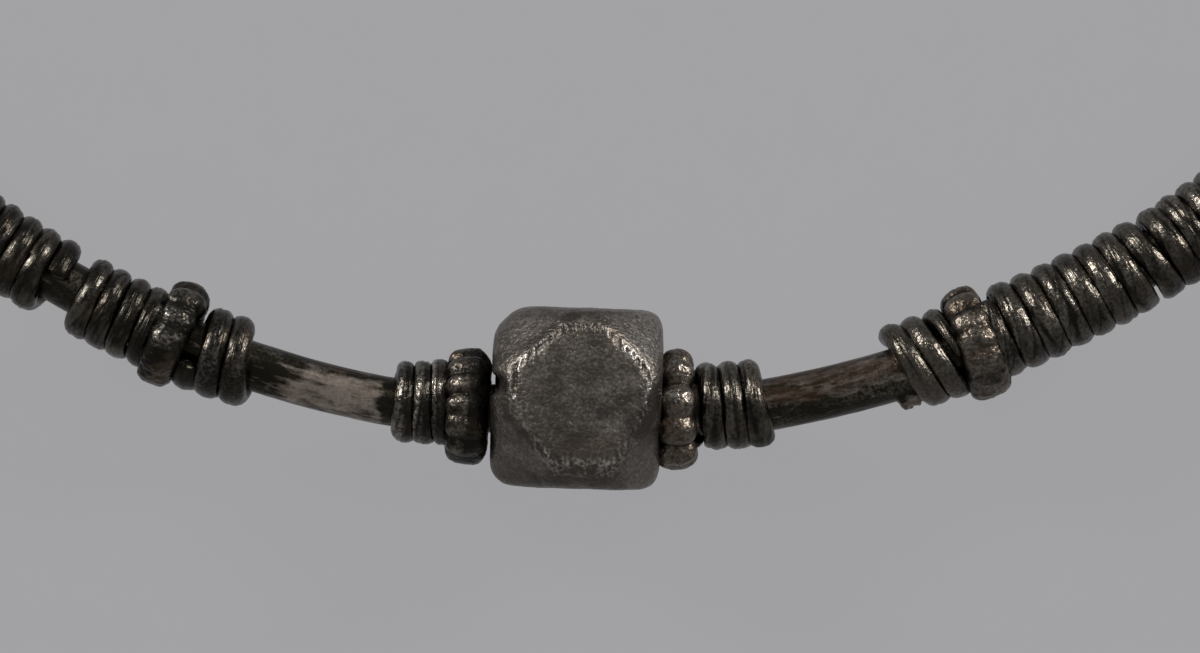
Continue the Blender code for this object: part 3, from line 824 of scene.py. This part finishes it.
# %% The strand's marks
def strand_marks(wire, length, turns, blunt, places, angle, direction, towards_end):
    """The strand's fine relief and its finish. Dents are slow bumps, creases lie where a noise
    that is drawn out along the strand crosses zero, and the seam is a dark line that wanders
    along its back and comes and goes."""
    seed = wire["seed"]
    twisted = angle + 0.7 * length[:, None]
    lengthwise = stacked(length[:, None] * 0.13, 0.32 * np.cos(twisted), 0.32 * np.sin(twisted))
    bent = lumps(lengthwise, 0.2, seed + 6)
    seam_side = angle - 1.1 * wander(length, 2.6, seed + 3)[:, None] - 0.2
    seam = np.exp(-((seam_side / 0.16) ** 2)) * eased(wander(length, 1.9, seed + 4), -0.4, 0)[:, None]
    relief = 0.006 * lumps(places, 0.3, seed + 5) + 0.01 * bent
    crease = np.exp(-((bent / 0.1) ** 2))
    dent = lumps(places, 0.7, seed + 8)
    relief += 0.014 * dent - 0.018 * crease - 0.02 * seam
    relief += wire["grit"] * 0.014 * roughened(places, 0.12, seed + 7, 2)
    relief += 0.006 * lumps(lengthwise, 0.05, seed + 9)
    relief *= blunt[:, None]
    # Bright metal shows on the strand's back. It is less in the seam and away from the hoop's centre,
    # and it is taken away near the ends and on one side of each turn, which are kept in painted shade.
    outside = eased(np.cos(angle), 0.0, 0.9)[None]
    wear = wire["bared"] * outside * (0.2 + 0.8 * eased(relief, -0.005, 0.02))
    # The ends are darkened, and lose their bright metal, as painted shade.
    painted_shade_at_ends = 1 - eased(np.minimum(turns, wire["turns"] - turns), 0.02, 0.35)[:, None]
    # Painted shade on the side of each turn towards the winding's end: it darkens the skin and takes wear
    # away.
    painted_shade_side = wire.get("painted_shade_side", 0) * eased(np.sin(angle) * towards_end, -0.3, 0.3)
    wear = wear * (1 - seam) * (1 - painted_shade_side) * (1 - 0.8 * painted_shade_at_ends)
    wear *= 1 - 0.6 * eased(np.cos(direction), 0.1, 0.5)[:, None]
    # The skin is darker in creases and seams, paler on dents, and darker as painted shade near the
    # ends and on one side of each turn. Between the turns it is lightened as painted fill light, the
    # tops of the turns towards the centre as a painted reflection, and the side away from the centre
    # as painted light.
    pale = wire["pale"] - 0.25 * seam - 0.3 * painted_shade_side - 0.2 * painted_shade_at_ends + 0.12 * dent - 0.22 * crease
    # Painted fill light between the turns, where they meet.
    painted_fill_between_turns = 1 - eased(np.cos(angle), 0.15, 0.6)
    # The tops of the turns towards the hoop's centre are lightened as a painted reflection; the wander is
    # a slow random change of tone along the strand.
    above = 0.12 * eased(-np.cos(direction), 0.3, 0.8) + 0.05 * wander(length, 2.4, seed + 10)
    # Below lightens the side away from the centre as painted light, and darkens it as painted shade where
    # it is less than nothing.
    below = wire.get("below", 0) * eased(np.cos(direction), 0, 0.5)
    pale = pale + 0.3 * painted_fill_between_turns + (above + below)[:, None]
    return relief, {"wear": wear, "grit": wire["grit"], "pale": pale}


def winding(wire):
    """The strand's surface, wrapped onto the hoop, with its finish and its map."""
    length, turns, drawn, blunt = strand(wire)
    places, *ways = strand_places(wire, length, turns, drawn, blunt)
    relief, marks = strand_marks(wire, length, turns, blunt, places, *ways)
    rows = on_hoop(places + facing(places, joined=False) * relief[..., None])
    girth = np.arange(STRAND_SIDES + 1) * STRAND_GIRTH / STRAND_SIDES
    return rows, marks, (np.append(length, length[-1]), girth)


for name, wire in WINDINGS.items():
    dress(name, skin(name, *winding(wire), joined=False), winding_finish)

# %% [markdown]
# ## The hoop wire
#
# The hoop is one drawn wire, 1.5 mm thick. Its ends are drawn thinner. One is bent back to a hook
# and the other to a round eye that the hook goes into, the usual closure of such hoops. Left of
# the bead the bare wire is rubbed pale in long bands, and right of it copper has stained it brown,
# above a darker underside, with a crumb of copper salts at its edge.
#
# It is a round section carried along a line of arcs and straights. A screw-like twist would spoil
# the pattern along the wire, so the section keeps one side in the hoop's plane all the way.

# %% The hoop's route
EYE_RADIUS = 1.3
EYE_NECK_RADIUS = 1.0
CLOSURE_CLEARANCE = 0.12
HOOK_RISE_LENGTH = 4.5
HOOK_TIP_LENGTH = 1.6
HOOK_STEPS = 60
FINE_REACH = 11
FINE_STEPS = 440
FAR_STEPS = 330


def arc(middle, radius, first, last, step=0.05):
    """Points round part of a circle, from one angle to another."""
    angles = np.linspace(first, last, max(3, int(abs(last - first) * radius / step)))
    return stacked(middle[0] + radius * np.cos(angles), middle[1] + radius * np.sin(angles))


def hoop_route():
    """The hoop wire's centre line as (s, out, up): the hook, the hoop and the eye. Its steps are
    closest within the fine reach of the bead, where the bare wire shows."""
    span = EYE_RADIUS + EYE_NECK_RADIUS
    reach = math.sqrt(span**2 - EYE_NECK_RADIUS**2)
    eye_start = HALF_WAY - reach - EYE_RADIUS
    neck_turn = math.asin(EYE_NECK_RADIUS / span)
    neck = arc((eye_start, EYE_NECK_RADIUS), EYE_NECK_RADIUS, -math.pi / 2, -neck_turn)
    tip_distance = EYE_NECK_RADIUS + 2 * CLOSURE_WIRE_RADIUS + CLOSURE_CLEARANCE
    tip_turn = math.acos((EYE_RADIUS**2 + span**2 - tip_distance**2) / (2 * EYE_RADIUS * span))
    loop = arc((eye_start + reach, 0), EYE_RADIUS, math.pi - neck_turn, tip_turn - neck_turn - math.pi)
    eye = np.concatenate([neck, loop[1:]])
    share = np.linspace(0, 1, HOOK_STEPS, endpoint=False)
    rise = stacked(share * HOOK_RISE_LENGTH, HOOK_RADIUS * (3 - 2 * share) * share**2)
    turn = arc((HOOK_RISE_LENGTH, 0), HOOK_RADIUS, math.pi / 2, -math.pi / 2)
    back = np.linspace(0, 1, HOOK_STEPS // 2)[1:, None] * (-HOOK_TIP_LENGTH, 0)
    back = back + (HOOK_RISE_LENGTH, -HOOK_RADIUS)
    hook = np.concatenate([rise, turn, back])[::-1]
    hook_start = -(HALF_WAY - HOOK_RISE_LENGTH)
    near = np.linspace(-FINE_REACH, FINE_REACH, FINE_STEPS)
    left = np.linspace(hook_start, -FINE_REACH, FAR_STEPS)[1:-1]
    right = np.linspace(FINE_REACH, eye_start, FAR_STEPS)[1:-1]
    arc_s = np.concatenate([left, near, right])
    hooked = stacked(hook_start - hook[:, 0], 0.0, hook[:, 1])
    return np.concatenate([hooked, stacked(arc_s, 0.0, 0.0), stacked(eye[:, 0], eye[:, 1], 0.0)])


print("steps along the hoop's wire:", len(hoop_route()))

# %% The hoop's wear
def hoop_marks(places, route, angle, blunt):
    """The drawn wire's fine relief and its finish. Facing out is 1 away from the hoop's centre
    and -1 towards it. Places along the wire are made ragged by noise before they are eased."""
    lengthwise = places * (0.25, 1, 1)
    relief = 0.012 * lumps(lengthwise, 0.45, 3) + 0.006 * roughened(lengthwise, 0.14, 4)
    relief = (relief - 0.01) * blunt[:, None]
    wear = 0.3 * eased(relief, -0.012, 0.006)
    facing_out = np.cos(angle) * np.ones_like(relief)
    # Left of the bead the wire is bare and pale in bands, with a dark line between two of them.
    # All along it is darkened a little, as painted shade for the gaps between rings and windings where
    # it shows, and under the ring beside the bead and in the gap to the bead it is darkened more, as
    # painted shade.
    ragged = places[..., 0] + 0.25 * roughened(places, 0.4, 10) + 0.25 * facing_out
    reaching = 0.5 * eased(facing_out, 0.25, 0.6)
    left_bare = eased(ragged, -9.4, -8.2) * (1 - eased(ragged - reaching, -6.3, -6.0))
    banded = eased(facing_out, -0.9, -0.4) * (1 - 0.3 * eased(facing_out, 0.5, 0.9))
    line = np.exp(-(((facing_out + 0.05) / 0.1) ** 2)) * eased(lumps(lengthwise, 0.2, 6), -0.3, 0.3)
    streaks = lumps(places * (0.12, 1, 1), 0.13, 8)
    pale = -0.2 + left_bare * (0.33 * banded - 0.36 * line + 0.1 * streaks)
    # Painted shade under the ring beside the bead and in the gap to the bead.
    pale = pale - 0.4 * eased(ragged, -3.9, -3.7) * (1 - eased(ragged, -2.5, -2.3))
    # Right of it the wire is brown and mottled above, and dark below.
    right_bare = eased(route[:, 0], 5, 5.5)[:, None] * (1 - eased(route[:, 0], 10, 10.5))[:, None]
    mottles = roughened(lengthwise, 0.5, 12)
    below = eased(facing_out + 0.2 * mottles, 0.0, 0.5)
    pale = pale + right_bare * (0.13 - 0.15 * below + 0.08 * mottles * (1 - below))
    brown = right_bare * (0.17 - 0.6 * below) - 0.3 * eased(-places[..., 0], 8.6, 9.4)
    wear = wear * (1 - 0.3 * right_bare * below)
    # The crumb is a small block: high powers of the ways along and round the wire bound it.
    along_crumb = ((places[..., 0] - 9.9) / 0.34) ** 8
    round_crumb = (np.arcsin(0.999 * np.sin(angle)) / 0.5) ** 4
    crumb = np.exp(-along_crumb - round_crumb) * (facing_out > 0)
    relief = relief + crumb * (0.34 + 0.11 * roughened(places, 0.15, 11, 2))
    relief -= 0.02 * left_bare * line
    marks = {"wear": wear, "grit": 0.3, "pale": pale + 0.2 * crumb, "brown": brown + 0.9 * crumb}
    return relief, marks


# %% The hoop
WIRE_SIDES = 56
END_ROUNDING = 0.2
TAPER_LENGTH = 9.0


def hoop_wire():
    """A round section carried along the route. The hook's side bends up, so its section always
    faces out, and the eye's side bends in the hoop's plane, so its section always faces up."""
    route = hoop_route()
    length = np.append(0, np.cumsum(np.linalg.norm(np.diff(route, axis=0), axis=1)))
    forward = unit(np.gradient(route, length, axis=0))
    out, up = np.eye(3)[1:]
    eye_side = (route[:, 0] > 0)[:, None]
    outward = np.where(eye_side, np.cross(up, forward), out)
    upward = np.where(eye_side, up, np.cross(forward, out))
    full_until = HALF_WAY - HOOK_RISE_LENGTH - TAPER_LENGTH
    drawn = np.clip((abs(route[:, 0]) - full_until) / TAPER_LENGTH, 0, 1)
    stout = hoop_thickness(route[:, 0])
    radius = stout + (CLOSURE_WIRE_RADIUS - stout) * drawn
    blunt = quarter_round(np.minimum(length, length[-1] - length), END_ROUNDING)
    angle = np.linspace(-math.pi / 2, 1.5 * math.pi, WIRE_SIDES, endpoint=False)
    across = (radius * blunt)[:, None] * np.ones_like(angle)
    places = (
        route[:, None]
        + outward[:, None] * (across * np.cos(angle))[..., None]
        + upward[:, None] * (across * np.sin(angle))[..., None]
    )
    relief, marks = hoop_marks(places, route, angle, blunt)
    rows = on_hoop(places + facing(places, joined=False) * relief[..., None])
    girth = np.arange(WIRE_SIDES + 1) * 2 * math.pi * WIRE_RADIUS / WIRE_SIDES
    return skin("hoop_wire", rows, marks, (np.append(length, length[-1]), girth), joined=False)


dress("hoop_wire", hoop_wire(), hoop_finish)

# %% [markdown]
# ## Stage, light and camera
#
# The earring lies on plain pale card. Two soft lamps stand low at the left and the right: flat
# metal that faces the camera stays dark, and only what leans towards a lamp shines. The card gives
# off some light itself, as a lit table does, so that it stays even and pale, hardly shadowed.
#
# The camera looks straight down through a long lens from far off, as for a catalogue photo.

# %% The stage
FLOOR_HALF = 900
floor_mesh = bpy.data.meshes.new("floor")
corner_ways = ((-1, -1), (1, -1), (1, 1), (-1, 1))
floor_corners = [(x * FLOOR_HALF * MM, y * FLOOR_HALF * MM, 0) for x, y in corner_ways]
floor_mesh.from_pydata(floor_corners, [], [(0, 1, 2, 3)])
floor = show("floor", floor_mesh)

# Matt card: its clouds of fibres, 1.5 mm wide, are hardly darker or lighter than the rest.
paper, paper_tree = empty_material("pale grey matt card, lit from below")
paper_place = add(paper_tree, "TexCoord", {}, "Object")
fibres = add(paper_tree, "TexNoise", {"Vector": paper_place, "Scale": per(1.5), "Detail": 4.0})
greys = {0: fibres, 6: linear("#2a2a2b"), 7: linear("#2e2e30")}
tint = add(paper_tree, "Mix", greys, 2, data_type="RGBA")
card = {"Base Color": tint, "Roughness": 0.95, "Specular IOR Level": 0.0}
card |= {"Emission Color": linear("#a3a3a5"), "Emission Strength": 0.92}
add(paper_tree, "OutputMaterial", {"Surface": add(paper_tree, "BsdfPrincipled", card)})
floor_mesh.materials.append(paper)
print("floor, mm across:", 2 * FLOOR_HALF)

# %% The lights
world = bpy.data.worlds.new("studio")
world.use_nodes = True
background = world.node_tree.nodes["Background"]
background.inputs["Color"].default_value = linear("#ffffff")
background.inputs["Strength"].default_value = 0.3
bpy.context.scene.world = world

# Each lamp's direction is how far it is turned from the right and how far off the view's axis.
LAMP_DISTANCE = 0.5
LAMP_OFF_AXIS = math.radians(62)
for side, azimuth, power in (("left", 142, 2.2), ("right", 38, 1.95)):
    lamp = bpy.data.lights.new("soft lamp " + side, "AREA")
    lamp.shape = "ELLIPSE"
    lamp.size = 0.15
    lamp.size_y = 0.1
    lamp.energy = power
    lamp.color = linear("#fffcf8")[:3]
    lamp_object = show("soft lamp " + side, lamp)
    turn = math.radians(azimuth)
    level = math.sin(LAMP_OFF_AXIS)
    away = Vector((level * math.cos(turn), level * math.sin(turn), math.cos(LAMP_OFF_AXIS)))
    lamp_object.location = Vector(wire_origin * MM) + away * LAMP_DISTANCE
    lamp_object.rotation_euler = away.to_track_quat("Z", "Y").to_euler()
    lamp_object.visible_camera = False
    print("lamp on the", side, "at, m:", [round(part, 3) for part in lamp_object.location])

# %% The camera
VIEW_WIDTH = 36.0
SENSOR = 36.0
LENS = 200.0
VIEW_ROLL = math.radians(0.547)
AIM_FROM_CENTRE = (0.670, -29.08, 0)
camera = bpy.data.cameras.new("camera")
camera.sensor_width = SENSOR
camera.lens = LENS
camera_distance = VIEW_WIDTH * LENS / SENSOR
aim = hoop_centre + AIM_FROM_CENTRE
aim[2] = wire_origin[2]
camera_object = show("camera", camera)
place = Vector(aim * MM) + Vector((0, 0, camera_distance * MM))
camera_object.matrix_world = Matrix.Translation(place) @ Matrix.Rotation(VIEW_ROLL, 4, "Z")
camera.clip_start = 0.01
camera.clip_end = 5
bpy.context.scene.camera = camera_object
bpy.context.scene.view_settings.view_transform = "Standard"
print("camera above the wire, mm:", camera_distance)
